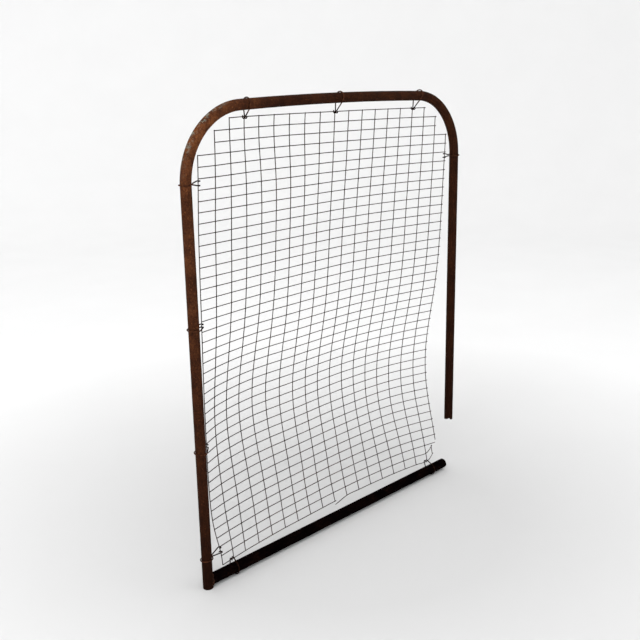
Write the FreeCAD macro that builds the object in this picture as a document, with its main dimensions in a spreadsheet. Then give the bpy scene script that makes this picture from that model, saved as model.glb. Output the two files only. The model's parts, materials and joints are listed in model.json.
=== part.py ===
import FreeCAD, Part
import math
import os
import Sketcher

# A tube-framed wire-mesh rebounder that has lost its lower right corner. One bent tube makes the
# left upright, the top rail and the right upright; a wider tube, welded on, is the bottom rail; and
# a welded wire mesh hangs in the frame from ten ties bent from thicker wire.
# Origin: centre of the left foot's open end. +X along the bottom rail, +Y to the back, +Z up.

SIZES = {
    "upright_spacing": 977.0,    # left upright's axis to right upright's axis
    "frame_height": 1165.5,      # top rail's axis above the foot's end, at its middle
    "tube_diameter": 26.0,
    "tube_wall": 1.5,
    "corner_radius": 170.0,      # centre line of the two bent corners
    "arch_radius": 10300.0,      # the top rail is bowed up a little
    "break_height": 163.0,       # broken end of the right upright
    "notch_diameter": 9.0,       # half bolt hole left in the broken end
    "chip_height": 4.0,          # slanting chip beside the notch
    "rail_height": 18.5,         # bottom rail's axis above the foot's end
    "rail_diameter": 28.6,
    "rail_wall": 1.5,
    "rail_start": 13.1,          # the square-cut end stops just short of the upright
    "rail_end": 952.0,
    "weld_start": 6.0,           # the bead reaches back round the upright to here
    "weld_leg": 4.0,
    "wire_diameter": 2.2,
    "tie_diameter": 3.0,
    "tie_gap": 0.7,              # tie to tube, radial
    "ring_gap": 1.45,            # tie to mesh wire, radial: the play that lets the mesh shift
}

COLUMN_PITCH = 50.8              # between vertical wires
ROW_PITCH = 25.5                 # between horizontal wires
LAST_COLUMN = 18
LAST_ROW = 43
OVERHANG = 0.05                  # wire end past its last crossing, in columns
ROW_OVERHANG = 0.06              # the same in rows
LAYER_GAP = 0.05                 # the two layers of wire only just miss each other

NET_LEFT = 34.0                  # first column, top end
NET_TOP = 1132.5                 # first row, left end
TOP_DROOP = 8.0                  # the top right corner hangs this much lower

# How balls have pushed the mesh out of flat, mostly backwards:
# depth, column and row of the middle, spread in columns and in rows
DENTS = {
    "middle": (85, 11.5, 30.5, 11, 10.5),
    "upper": (35, 10.5, 13.5, 8.5, 12),
    "left": (18, 3.5, 27, 3, 9),
    "left_edge": (-14, 0, 29, 0.8, 8),
    "right": (12, 15, 35, 3, 5),
    "foot": (15, 9, 41, 6, 5),
    "top_left": (12, 5, 1, 3, 4),
    "top_corner": (-10, 0.5, 2, 2, 6),
}

# The lower left corner is dragged inwards
DRAG = 22.0
DRAG_COLUMNS = 1.1
DRAG_ROWS = 3.5

# Damage: the columns next to the bent corners start lower, and the lower right corner is torn
FIRST_ROW = {0: 3, 1: 1, 17: 1, 18: 3}
TORN_COLUMN_END = 40.75
TORN_ROW = 41
TORN_ROW_END = 17.9
FLAP = FreeCAD.Vector(47.0, 16.0, 6.0)        # from column 17 to the torn-off piece of column 18
BREAK_COLUMN = 9                              # the lowest wire is broken just past this column
BREAK_DROP = 11.0                             # its right half has a drooping end

TOP_TIES = ((3, 0.0), (9, 6.0), (15, 20.0))   # column, and how far over the loop leans
RAIL_TIE_COLUMNS = (0.8, 16.85)
LEFT_FORKED_TIES = ((5.4, 1.7), (41.38, 2.2))    # row, and the spread of the two hooks
LEFT_PLAIN_TIES = ((18.4, 1.2), (30.3, 1.2))     # the ties without a neck
RIGHT_FORKED_TIES = ((5.4, 1.7),)
HANGER_SPREAD = 1.2              # a spread is from the middle to each hook, in tie diameters
FORK_NECK = 3.8                  # the fork's neck outside the tube's loop
LOOP_SPACING = 0.54              # from the middle to each end of the loop, in tie diameters
HOOK_ANGLE = 125                 # how far past the mesh wire's far side a hook goes on
ARC_STEP = 20                    # degrees between the points of a tie's bends
WIRE_STEP = 0.1                  # columns or rows to each side, to find a wire's direction

X_AXIS = FreeCAD.Vector(1, 0, 0)
Y_AXIS = FreeCAD.Vector(0, 1, 0)
Z_AXIS = FreeCAD.Vector(0, 0, 1)

doc = FreeCAD.newDocument("rebounder")
nodes = []


def fill_sheet():
    sheet = doc.addObject("Spreadsheet::Sheet", "Sizes")
    for line, (name, value) in enumerate(SIZES.items(), start=1):
        sheet.set(f"A{line}", name)
        sheet.set(f"B{line}", str(value))
        sheet.setAlias(f"B{line}", name)
    doc.recompute()
    return sheet


def size(name):
    return float(getattr(sheet, name))


def keep(thing, name):
    """Makes an object of the document one of the part's nodes."""
    thing.Label = name
    nodes.append(thing)


def sketch_on(body, name, role):
    sketch = body.newObject("Sketcher::SketchObject", name)
    plane = next(f for f in body.Origin.OriginFeatures if f.Role == role)
    sketch.AttachmentSupport = [(plane, "")]
    sketch.MapMode = "FlatFace"
    return sketch


def ring_section(sketch, diameter, wall):
    """Two concentric circles, the section of a tube."""
    outer = size(diameter) / 2
    for expression, radius in (
        (f"Sizes.{diameter} / 2", outer),
        (f"Sizes.{diameter} / 2 - Sizes.{wall}", outer - size(wall)),
    ):
        circle = Part.Circle(FreeCAD.Vector(0, 0, 0), Z_AXIS, radius)
        index = sketch.addGeometry(circle, False)
        sketch.addConstraint(Sketcher.Constraint("Coincident", index, 3, -1, 1))
        row = sketch.addConstraint(Sketcher.Constraint("Radius", index, radius))
        sketch.setExpression(f"Constraints[{row}]", expression)


def cylinder(name, diameter, height, placement):
    """A plain cylinder, to cut with; its diameter is a cell of the sheet."""
    made = doc.addObject("Part::Cylinder", name)
    made.setExpression("Radius", f"Sizes.{diameter} / 2")
    made.Height = height
    made.Placement = placement
    return made


def cut(base, tool, name):
    made = doc.addObject("Part::Cut", name)
    made.Base = base
    made.Tool = tool
    return made


# ---- the frame -------------------------------------------------------------------------------

def arch_angle():
    """Half the angle that the bowed top rail turns through."""
    half = size("upright_spacing") / 2 - size("corner_radius")
    return math.asin(half / (size("arch_radius") - size("corner_radius")))


def top_rail_height(x):
    """Height of the top rail's centre line, between the two corners."""
    radius = size("arch_radius")
    across = x - size("upright_spacing") / 2
    return size("frame_height") - radius + math.sqrt(radius ** 2 - across ** 2)


def frame_path(body):
    """Left upright, corner, bowed top rail, corner, right upright down to the break."""
    spacing = size("upright_spacing")
    corner = size("corner_radius")
    arch = size("arch_radius")
    theta = arch_angle()
    arch_centre = FreeCAD.Vector(spacing / 2, size("frame_height") - arch, 0)
    shoulder = arch_centre.y + (arch - corner) * math.cos(theta)
    quarter = math.pi / 2
    path = sketch_on(body, "frame_path", "XZ_Plane")

    def arc(centre, radius, start, end):
        circle = Part.Circle(centre, Z_AXIS, radius)
        return path.addGeometry(Part.ArcOfCircle(circle, start, end), False)

    left = path.addGeometry(
        Part.LineSegment(FreeCAD.Vector(0, 0, 0), FreeCAD.Vector(0, shoulder, 0)), False
    )
    left_bend = arc(FreeCAD.Vector(corner, shoulder, 0), corner, quarter + theta, math.pi)
    bow = arc(arch_centre, arch, quarter - theta, quarter + theta)
    right_bend = arc(FreeCAD.Vector(spacing - corner, shoulder, 0), corner, 0, quarter - theta)
    right = path.addGeometry(
        Part.LineSegment(
            FreeCAD.Vector(spacing, shoulder, 0),
            FreeCAD.Vector(spacing, size("break_height"), 0),
        ),
        False,
    )
    for constraint in (
        Sketcher.Constraint("Coincident", left, 1, -1, 1),
        Sketcher.Constraint("Vertical", left),
        Sketcher.Constraint("Vertical", right),
        Sketcher.Constraint("Tangent", left, 2, left_bend, 2),
        Sketcher.Constraint("Tangent", left_bend, 1, bow, 2),
        Sketcher.Constraint("Tangent", bow, 1, right_bend, 2),
        Sketcher.Constraint("Tangent", right_bend, 1, right, 1),
        Sketcher.Constraint("Equal", left_bend, right_bend),
    ):
        path.addConstraint(constraint)
    for kind, where, value, expression in (
        ("Radius", (left_bend,), corner, "Sizes.corner_radius"),
        ("Radius", (bow,), arch, "Sizes.arch_radius"),
        ("DistanceX", (-1, 1, right, 2), spacing, "Sizes.upright_spacing"),
        ("DistanceY", (-1, 1, right, 2), size("break_height"), "Sizes.break_height"),
        ("DistanceY", (bow, 3, -1, 1), arch - size("frame_height"),
         "Sizes.arch_radius - Sizes.frame_height"),
    ):
        row = path.addConstraint(Sketcher.Constraint(kind, *where, value))
        path.setExpression(f"Constraints[{row}]", expression)
    return path


def make_frame_tube():
    body = doc.addObject("PartDesign::Body", "bent_tube")
    section = sketch_on(body, "tube_section", "XY_Plane")
    ring_section(section, "tube_diameter", "tube_wall")
    path = frame_path(body)
    doc.recompute()
    pipe = body.newObject("PartDesign::AdditivePipe", "tube")
    pipe.Profile = section
    pipe.Spine = (path, [f"Edge{n}" for n in range(1, 6)])

    # The break follows a bolt hole that was drilled across the corner's bisector
    spacing = size("upright_spacing")
    reach = size("tube_diameter")
    diagonal = FreeCAD.Rotation(Z_AXIS, FreeCAD.Vector(1, 1, 0))
    start = FreeCAD.Vector(spacing - reach, -reach, size("break_height"))
    notch = cylinder("bolt_notch", "notch_diameter", 3 * reach, FreeCAD.Placement(start, diagonal))

    chip = doc.addObject("Part::Wedge", "slanting_chip")
    chip.Xmin = 0
    chip.setExpression("Xmax", "Sizes.tube_diameter / 2")
    chip.X2min = 0
    chip.X2max = 0
    chip.Ymin = 0
    chip.setExpression("Ymax", "Sizes.chip_height")
    chip.Zmin = -reach
    chip.Zmax = reach
    chip.Z2min = -reach
    chip.Z2max = reach
    turn = FreeCAD.Rotation(Z_AXIS, 135).multiply(FreeCAD.Rotation(X_AXIS, 90))
    chip.Placement = FreeCAD.Placement(
        FreeCAD.Vector(spacing, 0, size("break_height")), turn
    )
    keep(cut(cut(body, notch, "notched_tube"), chip, "frame_tube"), "frame_tube")


def make_bottom_rail():
    body = doc.addObject("PartDesign::Body", "rail_tube")
    section = sketch_on(body, "rail_section", "YZ_Plane")
    ring_section(section, "rail_diameter", "rail_wall")
    pad = body.newObject("PartDesign::Pad", "rail_length")
    pad.Profile = section
    pad.setExpression("Length", "Sizes.rail_end - Sizes.rail_start")
    body.Placement = FreeCAD.Placement(
        FreeCAD.Vector(size("rail_start"), 0, size("rail_height")), FreeCAD.Rotation()
    )
    keep(body, "bottom_rail")


def make_foot_weld():
    """A bead all round the rail's end, closing its gap to the upright."""
    along = FreeCAD.Rotation(Z_AXIS, X_AXIS)
    centre = FreeCAD.Vector(size("weld_start"), 0, size("rail_height"))
    bead = doc.addObject("Part::Cone", "bead")
    bead.setExpression("Radius1", "Sizes.rail_diameter / 2 + Sizes.weld_leg")
    bead.setExpression("Radius2", "Sizes.rail_diameter / 2")
    bead.setExpression("Height", "Sizes.tube_diameter / 2 - Sizes.weld_start + Sizes.weld_leg")
    bead.Placement = FreeCAD.Placement(centre, along)
    upright = cylinder("upright_in_weld", "tube_diameter", 80, FreeCAD.Placement())
    rail = cylinder("rail_in_weld", "rail_diameter", 80, FreeCAD.Placement(centre, along))
    keep(cut(cut(bead, upright, "bead_on_upright"), rail, "foot_weld"), "foot_weld")


# ---- the mesh --------------------------------------------------------------------------------

def depth_at(column, row):
    """Y of the mesh at a crossing."""
    depth = 0
    for rise, middle, level, wide, tall in DENTS.values():
        depth += rise * math.exp(-((column - middle) / wide) ** 2 - ((row - level) / tall) ** 2)
    return depth


def drag_at(column, row):
    """How far a crossing near the lower left corner is dragged."""
    return DRAG * math.exp(-(column / DRAG_COLUMNS) ** 2 - ((LAST_ROW - row) / DRAG_ROWS) ** 2)


def lay_mesh():
    """Crossings of the wires, which keep their length as the mesh bulges."""
    depth = {
        (column, row): depth_at(column, row)
        for column in range(LAST_COLUMN + 1)
        for row in range(LAST_ROW + 1)
    }
    crossings = {}
    for row in range(LAST_ROW + 1):
        across = NET_LEFT
        for column in range(LAST_COLUMN + 1):
            if column > 0:
                step = depth[column, row] - depth[column - 1, row]
                across += math.sqrt(COLUMN_PITCH ** 2 - step ** 2)
            if row == 0:
                height = NET_TOP - TOP_DROOP * (column / LAST_COLUMN) ** 3
            else:
                step = depth[column, row] - depth[column, row - 1]
                height = crossings[column, row - 1].z - math.sqrt(ROW_PITCH ** 2 - step ** 2)
            crossings[column, row] = FreeCAD.Vector(across, depth[column, row], height)
    for (column, row), point in crossings.items():
        point.x += drag_at(column, row)
    for row in (LAST_ROW - 1, LAST_ROW):
        crossings[LAST_COLUMN, row] = crossings[LAST_COLUMN - 1, row] + FLAP
    return crossings


def mesh_point(column, row):
    """A point between crossings, or a little past the last one."""
    first_column = min(max(math.floor(column), 0), LAST_COLUMN - 1)
    first_row = min(max(math.floor(row), 0), LAST_ROW - 1)
    point = FreeCAD.Vector(crossings[first_column, first_row])
    right = crossings[first_column + 1, first_row] - point
    down = crossings[first_column, first_row + 1] - point
    twist = crossings[first_column + 1, first_row + 1] - point - right - down
    across = column - first_column
    along = row - first_row
    return point + right * across + down * along + twist * (across * along)


def swept_wire(name, points, diameter, corners="Transformed"):
    """A round wire along straight runs; sharp bends need "Right corner"."""
    line = doc.addObject("Part::Polygon", f"{name}_line")
    line.Nodes = points
    line.Close = False
    end = doc.addObject("Part::Circle", f"{name}_end")
    end.setExpression("Radius", f"Sizes.{diameter} / 2")
    end.Placement = FreeCAD.Placement(points[0], FreeCAD.Rotation(Z_AXIS, points[1] - points[0]))
    wire = doc.addObject("Part::Sweep", name)
    wire.Sections = [end]
    wire.Spine = (line, [f"Edge{n}" for n in range(1, len(points))])
    wire.Solid = True
    wire.Transition = corners
    return wire


def layer_offset(side):
    """Vertical wires lie behind the horizontal ones."""
    return Y_AXIS * (side * (size("wire_diameter") + LAYER_GAP) / 2)


def stops(first, last, overhang):
    """Whole numbers from first to last, with the wire's two ends."""
    between = list(range(math.ceil(first), math.floor(last) + 1))
    return [first - overhang] + between + [last + overhang]


def column_points(column, first, last, overhang=ROW_OVERHANG):
    back = layer_offset(1)
    return [mesh_point(column, row) + back for row in stops(first, last, overhang)]


def row_points(row, first, last, overhang=OVERHANG):
    front = layer_offset(-1)
    return [mesh_point(column, row) + front for column in stops(first, last, overhang)]


def make_column_wires():
    for column in range(LAST_COLUMN + 1):
        name = f"column_wire_{column + 1:02d}"
        first = FIRST_ROW.get(column, 0)
        if column < LAST_COLUMN:
            keep(swept_wire(name, column_points(column, first, LAST_ROW), "wire_diameter"), name)
            continue
        upper = column_points(column, first, TORN_COLUMN_END, 0)
        upper[0] = mesh_point(column, first - ROW_OVERHANG) + layer_offset(1)
        scrap = column_points(column, LAST_ROW - 1, LAST_ROW)
        scrap[0] = scrap[1] + (scrap[1] - scrap[2]) * ROW_OVERHANG
        pieces = [
            swept_wire("upper_part", upper, "wire_diameter"),
            swept_wire("torn_off_part", scrap, "wire_diameter"),
        ]
        both = doc.addObject("Part::Compound", name)
        both.Links = pieces
        keep(both, name)


def wires_of_row(row):
    """The wire of one row, as one or two pieces."""
    name = f"row_{row + 1:02d}"
    present = [c for c in range(LAST_COLUMN + 1) if FIRST_ROW.get(c, 0) <= row]
    first = present[0]
    last = present[-1]
    if row == TORN_ROW:
        points = row_points(row, first, TORN_ROW_END, 0)
        points[0] = mesh_point(first - OVERHANG, row) + layer_offset(-1)
        return [swept_wire(name, points, "wire_diameter")]
    if row < LAST_ROW:
        return [swept_wire(name, row_points(row, first, last), "wire_diameter")]
    left = row_points(row, first, BREAK_COLUMN)
    drooping = mesh_point(BREAK_COLUMN, row) + layer_offset(-1) - Z_AXIS * BREAK_DROP
    right = [drooping] + row_points(row, BREAK_COLUMN + 1, last)[1:]
    return [
        swept_wire(f"{name}_left", left, "wire_diameter"),
        swept_wire(f"{name}_right", right, "wire_diameter"),
    ]


def make_row_wires():
    """Two neighbouring rows share a node."""
    for row in range(0, LAST_ROW + 1, 2):
        name = f"row_wires_{row + 1:02d}_{row + 2:02d}"
        pair = doc.addObject("Part::Compound", name)
        pair.Links = wires_of_row(row) + wires_of_row(row + 1)
        keep(pair, name)


# ---- the ties --------------------------------------------------------------------------------
# A tie is drawn in a frame of its own: the tube's axis is Z, and the mesh wire runs beside it,
# parallel to Z, at a distance along +X.

def arc_points(centre, radius, start, end, rise=(0, 0)):
    """Points on an arc in the XY plane, from one angle to another, with Z from rise."""
    count = max(2, math.ceil(abs(end - start) / ARC_STEP))
    made = []
    for n in range(count + 1):
        share = n / count
        angle = math.radians(start + (end - start) * share)
        made.append(FreeCAD.Vector(
            centre + radius * math.cos(angle),
            radius * math.sin(angle),
            rise[0] + (rise[1] - rise[0]) * share,
        ))
    return made


def hanger_points(loop, ring, reach, spread):
    """Hook, once over the tube, hook. The hooks are side by side on the mesh wire."""
    slant = math.degrees(math.acos((loop - ring) / reach))
    beside = size("tie_diameter") * LOOP_SPACING
    return (
        arc_points(reach, ring, -HOOK_ANGLE, slant, (spread, spread))
        + arc_points(0, loop, slant, 360 - slant, (beside, -beside))
        + arc_points(reach, ring, -slant, HOOK_ANGLE, (-spread, -spread))
    )


def fork_points(loop, ring, reach, spread):
    """Hook, neck, once round the tube, neck, hook. The wire crosses itself at the neck."""
    neck = loop + FORK_NECK
    beside = size("tie_diameter") * LOOP_SPACING
    tube_angle = math.degrees(math.acos(loop / neck))
    ring_angle = 180 - math.degrees(math.acos(ring / (reach - neck)))
    return (
        arc_points(reach, ring, -HOOK_ANGLE, ring_angle, (spread, spread))
        + [FreeCAD.Vector(neck, 0, beside)]
        + arc_points(0, loop, -tube_angle, tube_angle - 360, (beside, -beside))
        + [FreeCAD.Vector(neck, 0, -beside)]
        + arc_points(reach, ring, -ring_angle, HOOK_ANGLE, (-spread, -spread))
    )


def wire_beside(column, row, axis):
    """A point of the mesh wire that a tie holds, and the wire's drift sideways per mm of axis."""
    if axis == Z_AXIS:
        side, back, on = 1, (column, row - WIRE_STEP), (column, row + WIRE_STEP)
    else:
        side, back, on = -1, (column - WIRE_STEP, row), (column + WIRE_STEP, row)
    run = mesh_point(*on) - mesh_point(*back)
    return mesh_point(column, row) + layer_offset(side), run / run.dot(axis) - axis


def make_tie(name, shape, spread, tube, diameter, axis, held, lean=0.0):
    """A tie round the tube at one point of its axis, with its hooks round the mesh wire it holds.

    The loop leans along the tube by this much at its far side.
    """
    wire, drift = held
    towards = wire - tube
    towards -= axis * towards.dot(axis)
    reach = towards.Length
    loop = size(diameter) / 2 + size("tie_gap") + size("tie_diameter") / 2
    ring = size("wire_diameter") / 2 + size("ring_gap") + size("tie_diameter") / 2
    sideways = axis.cross(towards)
    points = shape(loop, ring, reach, size("tie_diameter") * spread)
    for point in points:
        share = max(0, point.x - loop) / (reach - loop)
        along = point.z * share
        point.z += lean * max(0, reach - ring - point.x) / (reach - ring + loop)
        point.x += drift.dot(towards) / reach * along
        point.y += drift.dot(sideways) / reach * along
    tie = swept_wire(name, points, "tie_diameter", "Right corner")
    tie.Placement = FreeCAD.Placement(tube, FreeCAD.Rotation(towards, sideways, axis, "XZY"))
    keep(tie, name)


def make_ties():
    for number, (column, lean) in enumerate(TOP_TIES, start=1):
        held = wire_beside(column, 0, X_AXIS)
        tube = FreeCAD.Vector(held[0].x, 0, top_rail_height(held[0].x))
        make_tie(f"top_hanger_{number}", hanger_points, HANGER_SPREAD, tube, "tube_diameter",
                 X_AXIS, held, lean)
    for side, shape, ties, column, x in (
        ("left_forked", fork_points, LEFT_FORKED_TIES, 0, 0),
        ("left_plain", hanger_points, LEFT_PLAIN_TIES, 0, 0),
        ("right_forked", fork_points, RIGHT_FORKED_TIES, LAST_COLUMN, size("upright_spacing")),
    ):
        for number, (row, spread) in enumerate(ties, start=1):
            held = wire_beside(column, row, Z_AXIS)
            tube = FreeCAD.Vector(x, 0, held[0].z)
            make_tie(f"{side}_tie_{number}", shape, spread, tube, "tube_diameter", Z_AXIS, held)
    for number, column in enumerate(RAIL_TIE_COLUMNS, start=1):
        held = wire_beside(column, LAST_ROW, X_AXIS)
        tube = FreeCAD.Vector(held[0].x, 0, size("rail_height"))
        make_tie(f"rail_tie_{number}", hanger_points, HANGER_SPREAD, tube, "rail_diameter",
                 X_AXIS, held)


# ---- build, check, write ---------------------------------------------------------------------

def check_all():
    for thing in doc.Objects:
        if "Invalid" in thing.State or "Error" in thing.State:
            raise RuntimeError(f"{thing.Name} failed: {thing.State}")
    for node in nodes:
        if node.Shape.isNull() or not node.Shape.isValid():
            raise RuntimeError(f"{node.Label} has no valid shape")


sheet = fill_sheet()
crossings = lay_mesh()
make_frame_tube()
make_bottom_rail()
make_foot_weld()
make_column_wires()
make_row_wires()
make_ties()
doc.recompute()
check_all()

os.makedirs("parts", exist_ok=True)
for node in nodes:
    node.Shape.exportStep(f"parts/{node.Label}.step")
    box = node.Shape.BoundBox
    print(node.Label, len(node.Shape.Solids), round(node.Shape.Volume, 1),
          [round(v, 1) for v in (box.XMin, box.YMin, box.ZMin, box.XMax, box.YMax, box.ZMax)])
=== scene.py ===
import json
import math
import random

import bmesh
import bpy
import numpy as np
from mathutils import Matrix, Vector, noise


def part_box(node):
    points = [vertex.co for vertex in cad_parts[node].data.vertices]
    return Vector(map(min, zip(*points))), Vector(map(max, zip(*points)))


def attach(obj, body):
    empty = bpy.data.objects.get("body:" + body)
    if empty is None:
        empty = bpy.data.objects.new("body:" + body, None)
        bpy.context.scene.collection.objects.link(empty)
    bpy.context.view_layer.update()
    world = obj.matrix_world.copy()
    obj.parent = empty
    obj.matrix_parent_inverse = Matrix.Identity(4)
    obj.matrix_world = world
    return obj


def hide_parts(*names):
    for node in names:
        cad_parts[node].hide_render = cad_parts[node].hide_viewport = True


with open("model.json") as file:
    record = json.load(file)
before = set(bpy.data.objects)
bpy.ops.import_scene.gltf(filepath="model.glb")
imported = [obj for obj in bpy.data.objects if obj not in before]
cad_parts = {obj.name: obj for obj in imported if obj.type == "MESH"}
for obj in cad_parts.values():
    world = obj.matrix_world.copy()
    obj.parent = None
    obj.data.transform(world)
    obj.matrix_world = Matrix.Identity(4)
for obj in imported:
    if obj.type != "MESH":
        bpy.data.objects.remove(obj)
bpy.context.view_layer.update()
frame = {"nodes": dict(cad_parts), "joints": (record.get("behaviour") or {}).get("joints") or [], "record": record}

# Looks of the rusted tube-framed wire-mesh rebounder. Everything is in metres, in the CAD's frame:
# +X along the bottom rail from the left foot, +Y to the back, +Z up.

MM = 0.001
TUBE_RADIUS = 13.0 * MM
TUBE_BORE = 11.5 * MM
CORNER_RADIUS = 170.0 * MM
ARCH_RADIUS = 10.3
RAIL_RADIUS = 14.3 * MM
RAIL_BORE = 12.8 * MM
BREAK_HEIGHT = 163.0 * MM
NOTCH_RADIUS = 4.5 * MM
CHIP_HEIGHT = 4.0 * MM
BREAK_BLEND = 16.0 * MM          # height over which the broken end's outline fades out
BREAK_RINGS = 6                  # rings of the skin that take part in it
TUBE_SIDES = 56
FRAME_STEP = 4.6 * MM            # between the rings of the frame's skin
RAIL_STEP = 3.2 * MM
BEAD_SIZE = 3.0 * MM
BEAD_SINK = 0.6 * MM
WIRE_RADIUS = 1.1 * MM
WIRE_WANDER = 0.35 * MM          # small bends from handling
COLUMN_STEP = 6.4 * MM
ROW_STEP = 8.5 * MM
WELD_REACH = 3.2 * MM            # two wires this close at a bend are spot welded
WELD_SIZES = (1.45 * MM, 1.85 * MM)
TIE_RADIUS = 1.5 * MM
TIE_GAP = 0.7 * MM
RING_GAP = 1.45 * MM
FORK_NECK = 3.8 * MM
LOOP_SPACING = 0.54 * 2 * TIE_RADIUS
HOOK_ANGLE = 125
SPREAD = 1.2                     # from a tie's middle to each hook, in tie diameters
SPREADS = {"left_forked_tie_1": 1.7, "left_forked_tie_2": 2.2, "right_forked_tie_1": 1.7}
LEANS = {"top_hanger_2": 6.0 * MM, "top_hanger_3": 20.0 * MM}
WELD_START = 1.0 * MM            # middle of the bead, inside the CAD bead's left end

# The camera, from a calibration on the frame's straight tubes
CAMERA_PLACE = (-1.216, -1.620, 1.230)
CAMERA_YAW = -45.1               # degrees, from looking along +Y
CAMERA_TILT = 15.28              # degrees, looking down
CAMERA_ROLL = -1.05
CAMERA_LENS = 51.2

nodes = frame["nodes"]
record = frame["record"]
bodies = record["behaviour"]["bodies"]
joints = {joint["child"]: joint for joint in frame["joints"]}
COLUMNS = sorted(n for n in nodes if n.startswith("column_wire"))
ROWS = sorted(n for n in nodes if n.startswith("row_wires"))
TIES = [name for name, members in bodies.items() if members == [name]]


# ---- shapes ----------------------------------------------------------------------------------

def frames_along(path):
    """Tangent and two normals at each point of a path, with no twist along it."""
    path = np.asarray(path, float)
    tangents = np.gradient(path, axis=0)
    tangents /= np.linalg.norm(tangents, axis=1)[:, None]
    normal = np.cross(tangents[0], (0.0, 1.0, 0.0))
    if np.linalg.norm(normal) < 0.1:
        normal = np.cross(tangents[0], (1.0, 0.0, 0.0))
    normals = []
    for tangent in tangents:
        normal = normal - tangent * np.dot(normal, tangent)
        normal /= np.linalg.norm(normal)
        normals.append(normal)
    normals = np.array(normals)
    return tangents, normals, np.cross(tangents, normals)


def rings_to_mesh(rings, caps=True):
    """Vertices and faces of a skin over rings of equal size; a flat face closes each end."""
    count, sides = rings.shape[:2]
    faces = []
    for i in range(count - 1):
        for j in range(sides):
            k = (j + 1) % sides
            faces.append((i * sides + j, i * sides + k, (i + 1) * sides + k, (i + 1) * sides + j))
    if caps:
        faces.append(tuple(range(sides))[::-1])
        faces.append(tuple((count - 1) * sides + j for j in range(sides)))
    return rings.reshape(-1, 3), faces


def wire_rings(path, radius, sides=8, roughness=0.04, seed=0.0):
    """Rings of a round wire whose thickness varies a little, with its ends rounded off."""
    path = np.asarray(path, float)
    _, across, up = frames_along(path)
    run = np.concatenate([[0.0], np.cumsum(np.linalg.norm(np.diff(path, axis=0), axis=1))])
    angles = np.arange(sides) * 2 * math.pi / sides
    rings = np.empty((len(path), sides, 3))
    for i, point in enumerate(path):
        place = Vector((run[i] * 180, seed, 0.0))
        thick = radius * (1 + roughness * noise.noise(place))
        if i in (0, len(path) - 1):
            thick *= 0.72
        for j, angle in enumerate(angles):
            grain = 1 + roughness * noise.noise(place + Vector((0, 0, 3 * j + 1.5)))
            spoke = across[i] * math.cos(angle) + up[i] * math.sin(angle)
            rings[i, j] = point + spoke * thick * grain
    return rings


def join(parts):
    """Several (vertices, faces) as one."""
    vertices, faces = [], []
    for part_vertices, part_faces in parts:
        start = sum(len(v) for v in vertices)
        vertices.append(np.asarray(part_vertices))
        faces += [tuple(start + i for i in face) for face in part_faces]
    return np.concatenate(vertices), faces


def add_piece(name, shape, body, stands_for, material):
    """A smooth mesh that rides on a CAD body, and takes the place of CAD nodes."""
    vertices, faces = shape
    mesh = bpy.data.meshes.new(name)
    mesh.from_pydata([tuple(v) for v in vertices], [], faces)
    mesh.validate()
    bm = bmesh.new()
    bm.from_mesh(mesh)
    bmesh.ops.recalc_face_normals(bm, faces=bm.faces)
    bm.to_mesh(mesh)
    bm.free()
    mesh.shade_smooth()
    mesh.set_sharp_from_angle(angle=math.radians(50))
    piece = bpy.data.objects.new(name, mesh)
    bpy.context.scene.collection.objects.link(piece)
    mesh.materials.append(material)
    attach(piece, body)
    if stands_for:
        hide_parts(*stands_for)


def smooth_path(points, step):
    """A Catmull-Rom curve through the points, with about this spacing."""
    points = np.asarray(points, float)
    ends = np.vstack([2 * points[0] - points[1], points, 2 * points[-1] - points[-2]])
    made = []
    for a, b, c, d in zip(ends, ends[1:], ends[2:], ends[3:]):
        gap = [max(np.linalg.norm(q - p), 1e-9) ** 0.5 for p, q in ((a, b), (b, c), (c, d))]
        into = (c - b) - gap[1] * ((c - a) / (gap[0] + gap[1]) - (b - a) / gap[0])
        out = (c - b) + gap[1] * ((d - c) / gap[2] - (d - b) / (gap[1] + gap[2]))
        parts = max(1, round(np.linalg.norm(c - b) / step))
        for n in range(parts):
            t = n / parts
            made.append(
                b * (2 * t ** 3 - 3 * t ** 2 + 1) + into * (t ** 3 - 2 * t ** 2 + t)
                + c * (3 * t ** 2 - 2 * t ** 3) + out * (t ** 3 - t ** 2)
            )
    made.append(points[-1])
    return np.array(made)


def evenly(path, step):
    """The same line with points this far apart."""
    path = np.asarray(path, float)
    run = np.concatenate([[0.0], np.cumsum(np.linalg.norm(np.diff(path, axis=0), axis=1))])
    stops = np.linspace(0, run[-1], max(2, round(run[-1] / step) + 1))
    return np.stack([np.interp(stops, run, path[:, k]) for k in range(3)], axis=1)


def softened(path, passes):
    """Rounds the corners of an evenly spaced line; the ends stay."""
    path = path.copy()
    for _ in range(passes):
        path[1:-1] = (path[:-2] + 2 * path[1:-1] + path[2:]) / 4
    return path


# ---- materials -------------------------------------------------------------------------------

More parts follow.
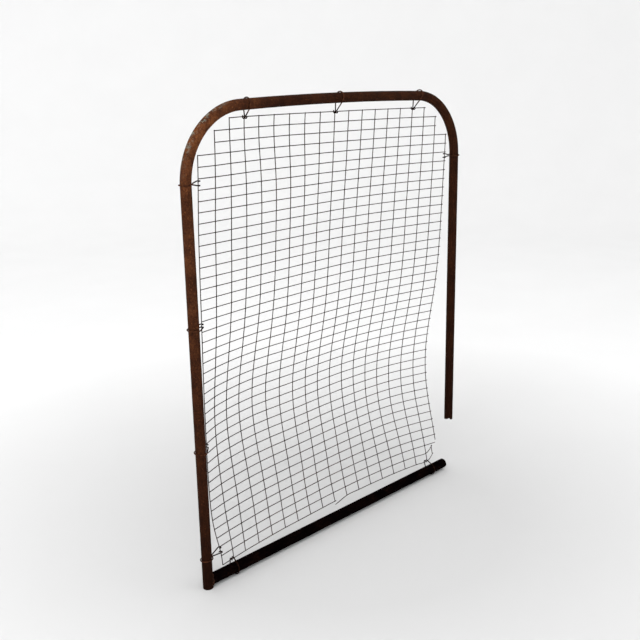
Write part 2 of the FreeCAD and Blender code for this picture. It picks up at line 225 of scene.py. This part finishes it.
class Nodes:
    """Adds shader nodes to one material, with short calls."""

    def __init__(self, name):
        self.material = bpy.data.materials.new(name)
        self.material.use_nodes = True
        self.tree = self.material.node_tree
        self.tree.nodes.clear()
        self.shader = self.tree.nodes.new("ShaderNodeBsdfPrincipled")
        output = self.tree.nodes.new("ShaderNodeOutputMaterial")
        self.link(self.shader.outputs[0], output.inputs[0])
        self.position = self.tree.nodes.new("ShaderNodeTexCoord").outputs["Object"]

    def link(self, source, target):
        self.tree.links.new(source, target)

    def put(self, socket, value):
        if isinstance(value, bpy.types.NodeSocket):
            self.link(value, socket)
        else:
            socket.default_value = value

    def math(self, operation, a, b=0.0, c=0.0, clamp=False):
        node = self.tree.nodes.new("ShaderNodeMath")
        node.operation = operation
        node.use_clamp = clamp
        for socket, value in zip(node.inputs, (a, b, c)):
            self.put(socket, value)
        return node.outputs[0]

    def noise(self, scale, detail=4.0, roughness=0.6, distortion=0.0):
        node = self.tree.nodes.new("ShaderNodeTexNoise")
        node.inputs["Scale"].default_value = scale
        node.inputs["Detail"].default_value = detail
        node.inputs["Roughness"].default_value = roughness
        node.inputs["Distortion"].default_value = distortion
        self.link(self.position, node.inputs["Vector"])
        return node.outputs["Fac"]

    def cells(self, scale):
        node = self.tree.nodes.new("ShaderNodeTexVoronoi")
        node.inputs["Scale"].default_value = scale
        self.link(self.position, node.inputs["Vector"])
        return node.outputs["Distance"]

    def ramp(self, value, low, high, a=0.0, b=1.0):
        node = self.tree.nodes.new("ShaderNodeMapRange")
        node.inputs["From Min"].default_value = low
        node.inputs["From Max"].default_value = high
        node.inputs["To Min"].default_value = a
        node.inputs["To Max"].default_value = b
        self.link(value, node.inputs["Value"])
        return node.outputs[0]

    def colours(self, value, stops):
        node = self.tree.nodes.new("ShaderNodeValToRGB")
        elements = node.color_ramp.elements
        while len(elements) < len(stops):
            elements.new(0.5)
        for element, (place, colour) in zip(elements, stops):
            element.position = place
            element.color = (*colour, 1.0)
        self.link(value, node.inputs[0])
        return node.outputs[0]

    def mix(self, share, a, b, blend="MIX"):
        node = self.tree.nodes.new("ShaderNodeMix")
        node.data_type = "RGBA"
        node.blend_type = blend
        self.put(node.inputs["Factor"], share)
        for key, value in (("A", a), ("B", b)):
            socket = next(s for s in node.inputs if s.name == key and s.type == "RGBA")
            self.put(socket, (*value, 1.0) if isinstance(value, tuple) else value)
        return next(s for s in node.outputs if s.type == "RGBA")

    def axis(self, name):
        node = self.tree.nodes.new("ShaderNodeSeparateXYZ")
        self.link(self.position, node.inputs[0])
        return node.outputs[name]

    def distance_to(self, point):
        node = self.tree.nodes.new("ShaderNodeVectorMath")
        node.operation = "DISTANCE"
        self.link(self.position, node.inputs[0])
        node.inputs[1].default_value = point
        return node.outputs["Value"]

    def bump(self, height, strength, distance):
        node = self.tree.nodes.new("ShaderNodeBump")
        node.inputs["Strength"].default_value = strength
        node.inputs["Distance"].default_value = distance
        self.link(height, node.inputs["Height"])
        self.link(node.outputs[0], self.shader.inputs["Normal"])


def rust(name, colours, patch=22.0, grain=230.0, pit=520.0, depth=0.0006, specular=0.03):
    """Rusted bare steel: patches, mottled grain, pits, and dull and smooth spots."""
    n = Nodes(name)
    dark, body, warm, light = colours
    patches = n.noise(patch, 7.0, 0.62, 0.4)
    mottle = n.noise(grain, 6.0, 0.7)
    speckle = n.noise(pit, 3.0, 0.6)
    mixed = n.math("MULTIPLY_ADD", mottle, 0.55, n.math("MULTIPLY", patches, 0.45))
    colour = n.colours(mixed, ((0.36, dark), (0.47, body), (0.56, warm), (0.68, light)))
    colour = n.mix(n.ramp(speckle, 0.56, 0.72, 0.0, 0.55), colour, dark)
    pits = n.ramp(n.cells(pit * 0.7), 0.0, 0.28)
    height = n.math("ADD", n.math("MULTIPLY", mottle, 0.6), n.math("MULTIPLY", speckle, 0.25))
    height = n.math("MULTIPLY_ADD", pits, 0.15, height)
    n.bump(height, 0.75, depth)
    n.link(n.ramp(mixed, 0.35, 0.62, 0.55, 0.93), n.shader.inputs["Roughness"])
    n.shader.inputs["Metallic"].default_value = 0.0
    n.shader.inputs["Specular IOR Level"].default_value = specular
    return n, colour


def finish_colour(n, colour):
    n.link(colour, n.shader.inputs["Base Color"])
    return n.material


def frame_rust():
    """The bent tube: painted shade makes it darker and browner towards the foot and darker towards the right; the
    last pale paintwork, worn, on the left corner's outer side, with a painted highlight.
    """
    n, colour = rust(
        "frame_rust",
        ((0.020, 0.0062, 0.0030), (0.052, 0.0175, 0.0080), (0.095, 0.0320, 0.0130),
         (0.170, 0.0620, 0.0240)),
    )
    # Painted shade: the colour darkens towards the foot and towards the right, mixed towards a near-black brown
    # shade colour; shade is 1 where the tube is left fully lit.
    low = n.ramp(n.axis("Z"), 0.0, 1.0, 0.10, 0.92)
    right = n.ramp(n.axis("X"), 0.05, 0.3, 1.0, 0.36)
    shade = n.math("MULTIPLY", low, right)
    colour = n.mix(n.math("SUBTRACT", 1.0, shade), colour, (0.0070, 0.0016, 0.0008))
    # Pale patches on the outer side of the left corner, which faces the light: worn paint with a painted highlight
    # on it.
    centre = (CORNER_RADIUS, 0.0, 0.9905)
    outer = n.ramp(n.distance_to(centre), 0.1775, 0.1825)
    near = n.ramp(n.distance_to((0.045, 0.0, 1.11)), 0.125, 0.03)
    flakes = n.ramp(n.noise(95.0, 8.0, 0.75), 0.51, 0.58)
    worn_paint_and_highlight = n.math("MULTIPLY", n.math("MULTIPLY", outer, near), flakes, clamp=True)
    colour = n.mix(worn_paint_and_highlight, colour, (0.20, 0.21, 0.17))
    warm = n.math("MULTIPLY", near, n.ramp(n.noise(60.0, 5.0, 0.6), 0.42, 0.6))
    colour = n.mix(n.math("MULTIPLY", warm, 0.4), colour, (0.23, 0.080, 0.027))
    # Orange rust flecks, kept to where the painted shade leaves the tube lit.
    fleck = n.math("MULTIPLY", shade, n.ramp(n.noise(240.0, 3.0, 0.6), 0.60, 0.68))
    colour = n.mix(n.math("MULTIPLY", fleck, 0.6), colour, (0.21, 0.072, 0.024))
    return finish_colour(n, colour)


def rail_rust():
    """The bottom rail: nearly black scale with a little rust."""
    n, colour = rust(
        "rail_rust",
        ((0.0006, 0.0003, 0.0004), (0.0014, 0.0007, 0.0009), (0.0036, 0.0016, 0.0014),
         (0.0120, 0.0045, 0.0028)),
        specular=0.0,
    )
    return finish_colour(n, colour)


def weld_rust():
    n, colour = rust(
        "weld_rust",
        ((0.006, 0.0030, 0.0022), (0.014, 0.0065, 0.0045), (0.040, 0.0150, 0.0080),
         (0.085, 0.0330, 0.0150)),
        patch=60.0, grain=260.0,
    )
    return finish_colour(n, colour)


def wire_rust():
    n, colour = rust(
        "wire_rust",
        ((0.009, 0.0050, 0.0045), (0.018, 0.0095, 0.0080), (0.036, 0.0170, 0.0130),
         (0.075, 0.0330, 0.0220)),
        patch=9.0, grain=110.0, pit=900.0, depth=0.0002,
    )
    return finish_colour(n, colour)


def tie_rust():
    """Rust-coloured loops round the bent tube; hooks, and the ties on the rail, are nearly black."""
    n, colour = rust(
        "tie_rust",
        ((0.012, 0.0045, 0.0028), (0.034, 0.0120, 0.0065), (0.070, 0.0240, 0.0110),
         (0.130, 0.0470, 0.0190)),
        patch=40.0, grain=260.0, pit=800.0, depth=0.0003,
    )
    across, up = n.axis("X"), n.axis("Z")
    inside = n.math("MULTIPLY", n.ramp(across, 0.017, 0.024), n.ramp(across, 0.960, 0.953))
    inside = n.math("MULTIPLY", inside, n.ramp(up, 1.146, 1.139), clamp=True)
    return finish_colour(n, n.mix(n.math("MULTIPLY", inside, 0.8), colour, (0.004, 0.002, 0.0015)))


# ---- the frame -------------------------------------------------------------------------------

def frame_path(step):
    """Left upright, corner, bowed top rail, corner, right upright down to the break."""
    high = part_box("frame_tube")[1]
    spacing = high.x - TUBE_RADIUS
    top = high.z - TUBE_RADIUS
    theta = math.asin((spacing / 2 - CORNER_RADIUS) / (ARCH_RADIUS - CORNER_RADIUS))
    arch_z = top - ARCH_RADIUS
    shoulder = arch_z + (ARCH_RADIUS - CORNER_RADIUS) * math.cos(theta)

    def arc(x, z, radius, start, end):
        count = max(3, round(abs(end - start) * radius / step))
        return [
            (x + radius * math.cos(a), 0.0, z + radius * math.sin(a))
            for a in np.linspace(start, end, count + 1)
        ]

    quarter = math.pi / 2
    points = [(0.0, 0.0, 0.0)]
    points += arc(CORNER_RADIUS, shoulder, CORNER_RADIUS, math.pi, quarter + theta)
    points += arc(spacing / 2, arch_z, ARCH_RADIUS, quarter + theta, quarter - theta)[1:]
    points += arc(spacing - CORNER_RADIUS, shoulder, CORNER_RADIUS, quarter - theta, 0.0)[1:]
    points.append((spacing, 0.0, BREAK_HEIGHT))
    return np.array(points), spacing


def relief(point, normal_scale):
    """Rust scale and shallow dents of a tube's skin."""
    p = Vector(point)
    coarse = noise.noise(p * 45)
    fine = noise.noise(p * 260) + 0.6 * noise.noise(p * 520)
    return normal_scale * (0.16 * coarse + 0.10 * fine) * MM


def break_rise(offset):
    """How far the broken end stands back, across the bolt hole's direction."""
    rise = 0.0
    if abs(offset) < NOTCH_RADIUS:
        rise = math.sqrt(NOTCH_RADIUS ** 2 - offset ** 2)
    if offset < 0:
        rise = max(rise, CHIP_HEIGHT * (1 + offset / TUBE_RADIUS))
    return rise + 0.5 * MM * noise.noise(Vector((offset * 900, 3.1, 0.0)))


def tube_skin(outer, inner):
    """The skin of a tube from the rings of its outside and its bore, closed at both ends."""
    skin = np.concatenate([outer, inner[::-1]])
    vertices, faces = rings_to_mesh(skin, caps=False)
    count = len(skin)
    for j in range(TUBE_SIDES):
        k = (j + 1) % TUBE_SIDES
        faces.append(((count - 1) * TUBE_SIDES + j, (count - 1) * TUBE_SIDES + k, k, j))
    return vertices, faces


def frame_shape():
    points, spacing = frame_path(4.0 * MM)
    straight = evenly(points, FRAME_STEP)
    _, across, up = frames_along(straight)
    shells = []
    for radius, amount in ((TUBE_RADIUS, 1.0), (TUBE_BORE, 0.0)):
        rings = np.empty((len(straight), TUBE_SIDES, 3))
        for j in range(TUBE_SIDES):
            angle = 2 * math.pi * j / TUBE_SIDES
            spoke = across * math.cos(angle) + up * math.sin(angle)
            rings[:, j] = straight + spoke * radius
            if amount:
                for i in range(len(straight)):
                    rings[i, j] += spoke[i] * relief(rings[i, j], amount)
            last = rings[-1, j]
            offset = ((last[0] - spacing) - last[1]) / math.sqrt(2)
            rise = break_rise(offset)
            run = rings[-BREAK_RINGS:, j, 2] - BREAK_HEIGHT
            rings[-BREAK_RINGS:, j, 2] += rise * (1 - np.clip(run / BREAK_BLEND, 0, 1))
        shells.append(rings)
    return tube_skin(*shells)


def rail_shape():
    low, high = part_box("bottom_rail")
    height = (low.z + high.z) / 2
    stations = np.append(np.arange(low.x, high.x, RAIL_STEP), high.x)
    shells = []
    for radius, amount in ((RAIL_RADIUS, 1.0), (RAIL_BORE, 0.0)):
        rings = np.empty((len(stations), TUBE_SIDES, 3))
        for j in range(TUBE_SIDES):
            angle = 2 * math.pi * j / TUBE_SIDES
            y, z = radius * math.cos(angle), height + radius * math.sin(angle)
            for i, x in enumerate(stations):
                lift = relief((x, y, z), amount) if i and amount else 0.0
                rings[i, j] = (x, y + lift * math.cos(angle), z + lift * math.sin(angle))
        shells.append(rings)
    return tube_skin(*shells)


def weld_shape():
    """A lumpy bead along the line where the rail meets the upright."""
    low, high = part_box("bottom_rail")
    height = (low.z + high.z) / 2
    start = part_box("foot_weld")[0].x + WELD_START
    sides, count = 14, 120
    rings = np.empty((count, sides, 3))
    for i in range(count):
        turn = 2 * math.pi * i / count
        y, z = RAIL_RADIUS * math.cos(turn), RAIL_RADIUS * math.sin(turn)
        x = max(math.sqrt(max(TUBE_RADIUS ** 2 - y * y, 0.0)), start)
        centre = Vector((x, y, height + z))
        ripple = 0.22 * abs(math.sin(turn * 9 + noise.noise(Vector((turn * 2, 0, 7))) * 2))
        size = BEAD_SIZE * (0.82 + ripple + 0.22 * noise.noise(Vector((y * 300, z * 300, 2))))
        outward = Vector((0.0, math.cos(turn), math.sin(turn)))
        for j in range(sides):
            a = 2 * math.pi * j / sides
            point = centre + (Vector((1, 0, 0)) * math.cos(a) + outward * math.sin(a)) * size
            point -= outward * BEAD_SINK
            rings[i, j] = point
    vertices = rings.reshape(-1, 3)
    faces = []
    for i in range(count):
        for j in range(sides):
            k, m = (j + 1) % sides, (i + 1) % count
            faces.append((i * sides + j, i * sides + k, m * sides + k, m * sides + j))
    return vertices, faces


# ---- the mesh --------------------------------------------------------------------------------

def solids_of(node):
    """Corner points of each separate solid of a CAD node."""
    bm = bmesh.new()
    bm.from_mesh(node.data)
    bmesh.ops.remove_doubles(bm, verts=bm.verts, dist=1e-6)
    left = set(bm.verts)
    solids = []
    while left:
        stack = [left.pop()]
        found = []
        while stack:
            vertex = stack.pop()
            found.append(tuple(vertex.co))
            for edge in vertex.link_edges:
                other = edge.other_vert(vertex)
                if other in left:
                    left.remove(other)
                    stack.append(other)
        solids.append(np.array(found))
    bm.free()
    return solids


def centre_line(points, axis):
    """The bends of a CAD wire: the middles of its rings, found along its main axis."""
    order = points[np.argsort(points[:, axis])]
    cuts = np.where(np.diff(order[:, axis]) > 1.2 * MM)[0] + 1
    return np.array([ring.mean(axis=0) for ring in np.split(order, cuts)])


def wander(path, seed, amount):
    """Small bends that a wire has from handling."""
    made = path.copy()
    for i, point in enumerate(path):
        p = Vector(point) * 14 + Vector((seed, 0, 0))
        made[i] += np.array(noise.noise_vector(p)) * amount
    made[0], made[-1] = path[0], path[-1]
    return made


def wire_lines():
    lines = {}
    for name in COLUMNS:
        lines[name] = [centre_line(s, 2) for s in solids_of(nodes[name])]
    for name in ROWS:
        lines[name] = [centre_line(s, 0) for s in solids_of(nodes[name])]
    return lines


def nugget(place, size, seed):
    """One small spot weld: a squashed lump between the two wires."""
    bm = bmesh.new()
    bmesh.ops.create_icosphere(bm, subdivisions=1, radius=1.0)
    vertices = []
    for vertex in bm.verts:
        lump = 1 + 0.16 * noise.noise(vertex.co * 1.7 + Vector((seed, 0, 0)))
        vertices.append((
            place[0] + vertex.co.x * size * lump,
            place[1] + vertex.co.y * size * 1.05 * lump,
            place[2] + vertex.co.z * size * lump,
        ))
    faces = [tuple(v.index for v in face.verts) for face in bm.faces]
    bm.free()
    return vertices, faces


def make_mesh_pieces(lines, wire_material, weld_material):
    seed = 0.0
    for name in COLUMNS + ROWS:
        parts = []
        step = COLUMN_STEP if name in COLUMNS else ROW_STEP
        for line in lines[name]:
            seed += 13.7
            path = wander(smooth_path(line, step), seed, WIRE_WANDER)
            parts.append(rings_to_mesh(wire_rings(path, WIRE_RADIUS, 8, 0.07, seed)))
        add_piece(name + "_rod", join(parts), "mesh", [name], wire_material)
    random.seed(4)
    corners = np.concatenate([line for name in COLUMNS for line in lines[name]])
    welds = []
    for name in ROWS:
        for line in lines[name]:
            for point in line:
                near = np.linalg.norm(corners - point, axis=1)
                if near.min() < WELD_REACH:
                    place = (point + corners[near.argmin()]) / 2
                    size = random.uniform(*WELD_SIZES)
                    welds.append(nugget(place, size, random.uniform(0, 90)))
    add_piece("mesh_spot_welds", join(welds), "mesh", [], weld_material)


# ---- the ties --------------------------------------------------------------------------------

def arc(centre, radius, start, end, rise):
    """Points on an arc in the XY plane, in degrees, with Z running along rise."""
    count = max(2, math.ceil(abs(end - start) / 7))
    made = []
    for n in range(count + 1):
        share = n / count
        angle = math.radians(start + (end - start) * share)
        made.append((
            centre + radius * math.cos(angle),
            radius * math.sin(angle),
            rise[0] + (rise[1] - rise[0]) * share,
        ))
    return made


def hanger_line(loop, ring, reach, wide):
    slant = math.degrees(math.acos((loop - ring) / reach))
    near = LOOP_SPACING
    return (
        arc(reach, ring, -HOOK_ANGLE, slant, (wide, wide))
        + arc(0, loop, slant, 360 - slant, (near, -near))
        + arc(reach, ring, -slant, HOOK_ANGLE, (-wide, -wide))
    )


def fork_line(loop, ring, reach, wide):
    neck = loop + FORK_NECK
    near = LOOP_SPACING
    tube_angle = math.degrees(math.acos(loop / neck))
    ring_angle = 180 - math.degrees(math.acos(ring / (reach - neck)))
    return (
        arc(reach, ring, -HOOK_ANGLE, ring_angle, (wide, wide))
        + [(neck, 0, near)]
        + arc(0, loop, -tube_angle, tube_angle - 360, (near, -near))
        + [(neck, 0, -near)]
        + arc(reach, ring, -ring_angle, HOOK_ANGLE, (-wide, -wide))
    )


def point_at(line, along, place):
    """The point of a wire at this place on its main axis."""
    return np.array([np.interp(place, line[:, along], line[:, k]) for k in range(3)])


def wire_beside(tube, axis, lines):
    """The nearest mesh wire's point level with a tie, and its drift sideways along the axis."""
    along = int(np.argmax(np.abs(axis)))
    names, step = (ROWS, 5 * MM) if along == 0 else (COLUMNS, 2.5 * MM)
    place = tube[along]
    held = [line for name in names for line in lines[name]
            if line[0][along] <= place <= line[-1][along]]
    line = min(held, key=lambda line: np.linalg.norm(point_at(line, along, place) - tube))
    run = point_at(line, along, place + step) - point_at(line, along, place - step)
    return point_at(line, along, place), run / run.dot(axis) - axis


def make_tie(name, lines, material):
    joint = joints[name]
    tube = np.array(joint["pos_m"], float)
    axis = np.array(joint["axis"], float)
    radius = RAIL_RADIUS if name.startswith("rail") else TUBE_RADIUS
    wire, drift = wire_beside(tube, axis, lines)
    towards = wire - tube
    towards -= axis * np.dot(towards, axis)
    reach = np.linalg.norm(towards)
    towards /= reach
    side = np.cross(axis, towards)
    loop = radius + TIE_GAP + TIE_RADIUS
    ring = WIRE_RADIUS + RING_GAP + TIE_RADIUS
    shape = fork_line if "forked" in name else hanger_line
    local = np.array(shape(loop, ring, reach, SPREADS.get(name, SPREAD) * 2 * TIE_RADIUS))
    drifted = local[:, 2] * np.maximum(0, local[:, 0] - loop) / (reach - loop)
    hook_start = reach - ring
    share = np.maximum(0, hook_start - local[:, 0]) / (hook_start + loop)
    local[:, 2] += LEANS.get(name, 0.0) * share
    local[:, 0] += drift.dot(towards) * drifted
    local[:, 1] += drift.dot(side) * drifted
    path = softened(evenly(local, 0.0007), 5)
    path = evenly(path, 0.0011)
    placed = tube + np.outer(path[:, 0], towards) + np.outer(path[:, 1], side)
    placed += np.outer(path[:, 2], axis)
    seed = sum(ord(c) for c in name) * 0.37
    rings = wire_rings(placed, TIE_RADIUS, 12, 0.05, seed)
    add_piece(name + "_wire", rings_to_mesh(rings), name, [name], material)


# ---- stage, light, camera --------------------------------------------------------------------

def make_stage():
    """A pale floor that curves up into a wall all round; its colour holds painted light, brighter to the left, and
    painted shade on the floor round the object.
    """
    radius, bend, height = 4.6, 2.6, 3.4
    profile = [(0.0, 0.0)] + [(radius * n / 12, 0.0) for n in range(1, 13)]
    for n in range(1, 25):
        a = math.pi / 2 * n / 24
        profile.append((radius + bend * math.sin(a), bend * (1 - math.cos(a))))
    profile.append((radius + bend, bend + height))
    turns = 96
    vertices, faces = [], []
    for r, z in profile:
        for t in range(turns):
            a = 2 * math.pi * t / turns
            vertices.append((0.5 + r * math.cos(a), r * math.sin(a), z))
    for i in range(len(profile) - 1):
        for t in range(turns):
            u = (t + 1) % turns
            faces.append((i * turns + t, i * turns + u, (i + 1) * turns + u, (i + 1) * turns + t))
    mesh = bpy.data.meshes.new("studio_sweep")
    mesh.from_pydata(vertices, [], faces)
    mesh.shade_smooth()
    sweep = bpy.data.objects.new("studio_sweep", mesh)
    bpy.context.scene.collection.objects.link(sweep)
    n = Nodes("studio_paper")
    # Painted light: the paper is brighter to the left as the camera sees it (larger Y minus X) and darker to the
    # right.
    left = n.ramp(n.math("SUBTRACT", n.axis("Y"), n.axis("X")), -4.5, 3.5)
    wall = n.mix(left, (0.89, 0.89, 0.89), (0.95, 0.95, 0.95))
    # Painted shade: the paper is grey round the object and fades to the wall colour by 1.8 m out.
    far = n.ramp(n.distance_to((0.5, 0.0, 0.0)), 0.45, 1.8)
    paper_with_painted_light = n.mix(far, (0.62, 0.62, 0.62), wall)
    grain = n.ramp(n.noise(3.0, 2.0, 0.5), 0.3, 0.7, 0.0, 0.03)
    n.link(n.mix(grain, paper_with_painted_light, (0.5, 0.5, 0.5)), n.shader.inputs["Base Color"])
    n.shader.inputs["Roughness"].default_value = 0.9
    n.shader.inputs["Specular IOR Level"].default_value = 0.1
    mesh.materials.append(n.material)


def add_light(name, place, target, size, power):
    light = bpy.data.lights.new(name, "AREA")
    light.shape = "SQUARE"
    light.size = size
    light.energy = power
    made = bpy.data.objects.new(name, light)
    bpy.context.scene.collection.objects.link(made)
    direction = Vector(target) - Vector(place)
    turn = direction.to_track_quat("-Z", "Y").to_matrix().to_4x4()
    made.matrix_world = Matrix.Translation(place) @ turn


def make_light():
    world = bpy.data.worlds.new("studio")
    world.use_nodes = True
    background = world.node_tree.nodes["Background"]
    background.inputs["Color"].default_value = (1.0, 1.0, 1.0, 1.0)
    background.inputs["Strength"].default_value = 1.0
    bpy.context.scene.world = world
    add_light("key", (-2.6, -1.6, 3.8), (0.4, 0.2, 0.4), 3.0, 95.0)
    add_light("fill", (2.4, -3.2, 3.2), (0.5, 0.0, 0.4), 3.0, 20.0)
    bpy.context.scene.view_settings.view_transform = "Standard"


def make_camera():
    turn = (
        Matrix.Rotation(math.radians(CAMERA_YAW), 4, "Z")
        @ Matrix.Rotation(math.radians(90 - CAMERA_TILT), 4, "X")
        @ Matrix.Rotation(math.radians(CAMERA_ROLL), 4, "Z")
    )
    camera = bpy.data.objects.new("camera", bpy.data.cameras.new("camera"))
    camera.data.lens = CAMERA_LENS
    camera.data.sensor_width = 36.0
    camera.data.clip_end = 60.0
    camera.matrix_world = Matrix.Translation(CAMERA_PLACE) @ turn
    bpy.context.scene.collection.objects.link(camera)
    bpy.context.scene.camera = camera


make_camera()
lines = wire_lines()
weld = weld_rust()
add_piece("frame_tube_skin", frame_shape(), "frame", ["frame_tube"], frame_rust())
add_piece("bottom_rail_skin", rail_shape(), "frame", ["bottom_rail"], rail_rust())
add_piece("foot_weld_bead", weld_shape(), "frame", ["foot_weld"], weld)
make_mesh_pieces(lines, wire_rust(), weld)
ties = tie_rust()
for tie in TIES:
    make_tie(tie, lines, ties)
make_stage()
make_light()
